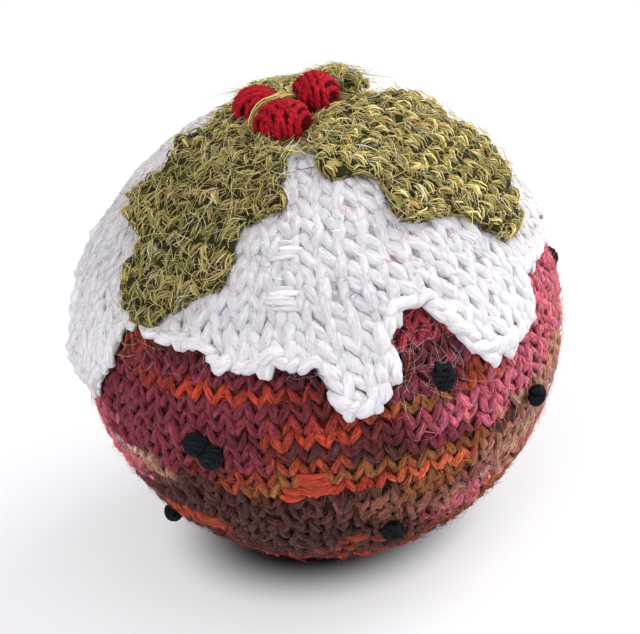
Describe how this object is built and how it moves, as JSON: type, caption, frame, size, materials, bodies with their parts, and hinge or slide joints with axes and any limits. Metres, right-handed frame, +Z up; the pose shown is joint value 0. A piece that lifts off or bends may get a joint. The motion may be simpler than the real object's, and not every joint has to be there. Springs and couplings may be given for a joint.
{
  "type": "knitted toy christmas pudding",
  "caption": "Round stuffed Christmas pudding knitted in striped wool, with white dripping icing, holly leaves, red berries and black currant knots, standing on a small flat spot.",
  "frame": {"origin": "middle of the flat spot that the ball rests on", "axes": "+Z up through the crown where the berries are, -Y towards the front that shows the narrow drip of icing"},
  "size_m": [0.1028, 0.1028, 0.1025],
  "materials": {
    "pudding_wool": "knitted self-striping wool, slightly hairy, plum, red, orange and brown",
    "icing_yarn": "soft white knitted yarn with glitter filaments",
    "leaf_wool": "rough tweedy olive green wool, knitted, very hairy",
    "berry_wool": "smooth plied red yarn",
    "currant_wool": "black yarn in knots"
  },
  "bodies": {
    "root": {"pudding": "pudding_wool", "icing": "icing_yarn", "leaf_left": "leaf_wool", "leaf_right": "leaf_wool", "leaf_back": "leaf_wool", "berry_front": "berry_wool", "berry_right": "berry_wool", "berry_left": "berry_wool", "currant_01": "currant_wool", "currant_02": "currant_wool", "currant_03": "currant_wool", "currant_04": "currant_wool", "currant_05": "currant_wool", "currant_06": "currant_wool", "currant_07": "currant_wool", "currant_08": "currant_wool", "currant_09": "currant_wool", "currant_10": "currant_wool", "currant_11": "currant_wool", "currant_12": "currant_wool", "currant_13": "currant_wool"}
  },
  "joints": []
}
